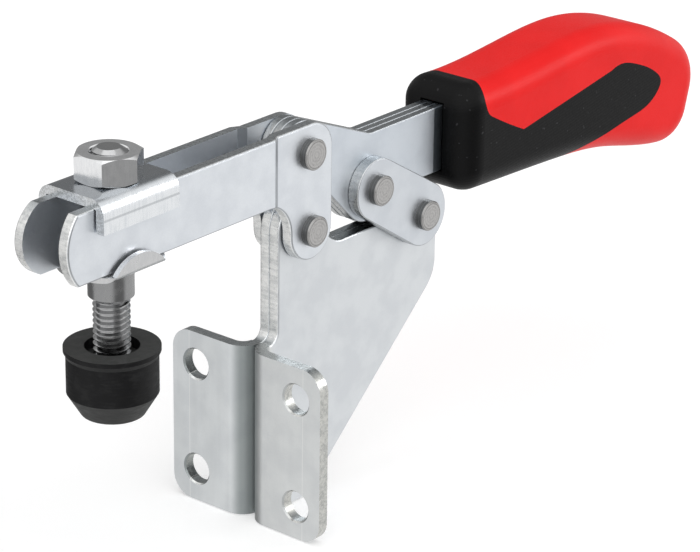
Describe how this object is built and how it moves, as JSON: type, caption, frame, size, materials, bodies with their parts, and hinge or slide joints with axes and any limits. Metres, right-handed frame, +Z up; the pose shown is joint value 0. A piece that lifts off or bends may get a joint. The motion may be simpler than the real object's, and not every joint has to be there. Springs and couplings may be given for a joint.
{
  "type": "horizontal toggle clamp",
  "caption": "Horizontal toggle clamp with an upright bolt-on foot, an open arm with an adjustable rubber-capped spindle, and a soft-grip handle.",
  "frame": {"origin": "centre of the four mounting holes, in the plane of the foot's front face", "axes": "+X out of the foot's back towards the handle, +Y to the clamp's left, +Z up, closed position"},
  "size_m": [0.221, 0.043, 0.0991],
  "materials": {
    "zinc_plate": "satin zinc-plated steel sheet",
    "rivet_steel": "turned steel, plated",
    "hardened_steel": "hardened and ground",
    "bright_steel": "bright plated or stainless steel",
    "black_rubber": "matte moulded rubber",
    "red_grip": "smooth moulded plastic",
    "black_grip": "soft moulded overmould"
  },
  "bodies": {
    "frame": {"frame_plate_right": "zinc_plate", "frame_plate_left": "zinc_plate", "frame_bush_front": "hardened_steel", "frame_bush_rear": "hardened_steel"},
    "arm": {"arm_plate_right": "zinc_plate", "arm_plate_left": "zinc_plate", "arm_frame_rivet": "rivet_steel", "arm_handle_rivet": "rivet_steel"},
    "handle": {"handle_plate_right": "zinc_plate", "handle_plate_middle": "zinc_plate", "handle_plate_left": "zinc_plate", "handle_bush_front": "hardened_steel", "handle_bush_rear": "hardened_steel", "grip_core": "red_grip", "grip_overmould": "black_grip"},
    "links": {"link_plate_right": "zinc_plate", "link_plate_left": "zinc_plate", "link_frame_rivet": "rivet_steel", "link_handle_rivet": "rivet_steel"},
    "carriage": {"upper_saddle": "bright_steel", "lower_saddle": "bright_steel", "threaded_sleeve": "bright_steel"},
    "cap": {"rubber_cap": "black_rubber"},
    "rod": {"spindle": "bright_steel"},
    "nut": {"lock_nut": "bright_steel"}
  },
  "joints": [
    {"name": "arm_pivot", "type": "hinge", "parent": "frame", "child": "arm", "pos_m": [0.01555, 0, 0.0454], "axis": [0, 1, 0], "range_deg": [0, 90]},
    {"name": "handle_pivot", "type": "hinge", "parent": "arm", "child": "handle", "pos_m": [0.0148, 0, 0.0634], "axis": [0, 1, 0], "range_deg": [-147.25, 0]},
    {"name": "link_pivot", "type": "hinge", "parent": "frame", "child": "links", "pos_m": [0.05515, 0, 0.0378], "axis": [0, 1, 0], "range_deg": [0, 67.54]},
    {"name": "saddle_slide", "type": "slide", "parent": "arm", "child": "carriage", "axis": [1, 0, 0], "range_m": [-0.008, 0.024]},
    {"name": "spindle_feed", "type": "slide", "parent": "carriage", "child": "cap", "axis": [0, 0, 1], "range_m": [-0.006, 0.005]},
    {"name": "spindle_spin", "type": "hinge", "parent": "cap", "child": "rod", "pos_m": [-0.04145, 0, 0], "axis": [0, 0, 1], "range_deg": [-1733, 1445]},
    {"name": "nut_turn", "type": "hinge", "parent": "carriage", "child": "nut", "pos_m": [-0.04145, 0, 0], "axis": [0, 0, 1], "range_deg": [0, 60]}
  ],
  "couplings": [
    {"joint": "handle_pivot", "follows": "arm_pivot", "ratio": -1.635},
    {"joint": "link_pivot", "follows": "arm_pivot", "ratio": 0.74934},
    {"joint": "spindle_spin", "follows": "spindle_feed", "rad_per_m": 5026.5}
  ]
}
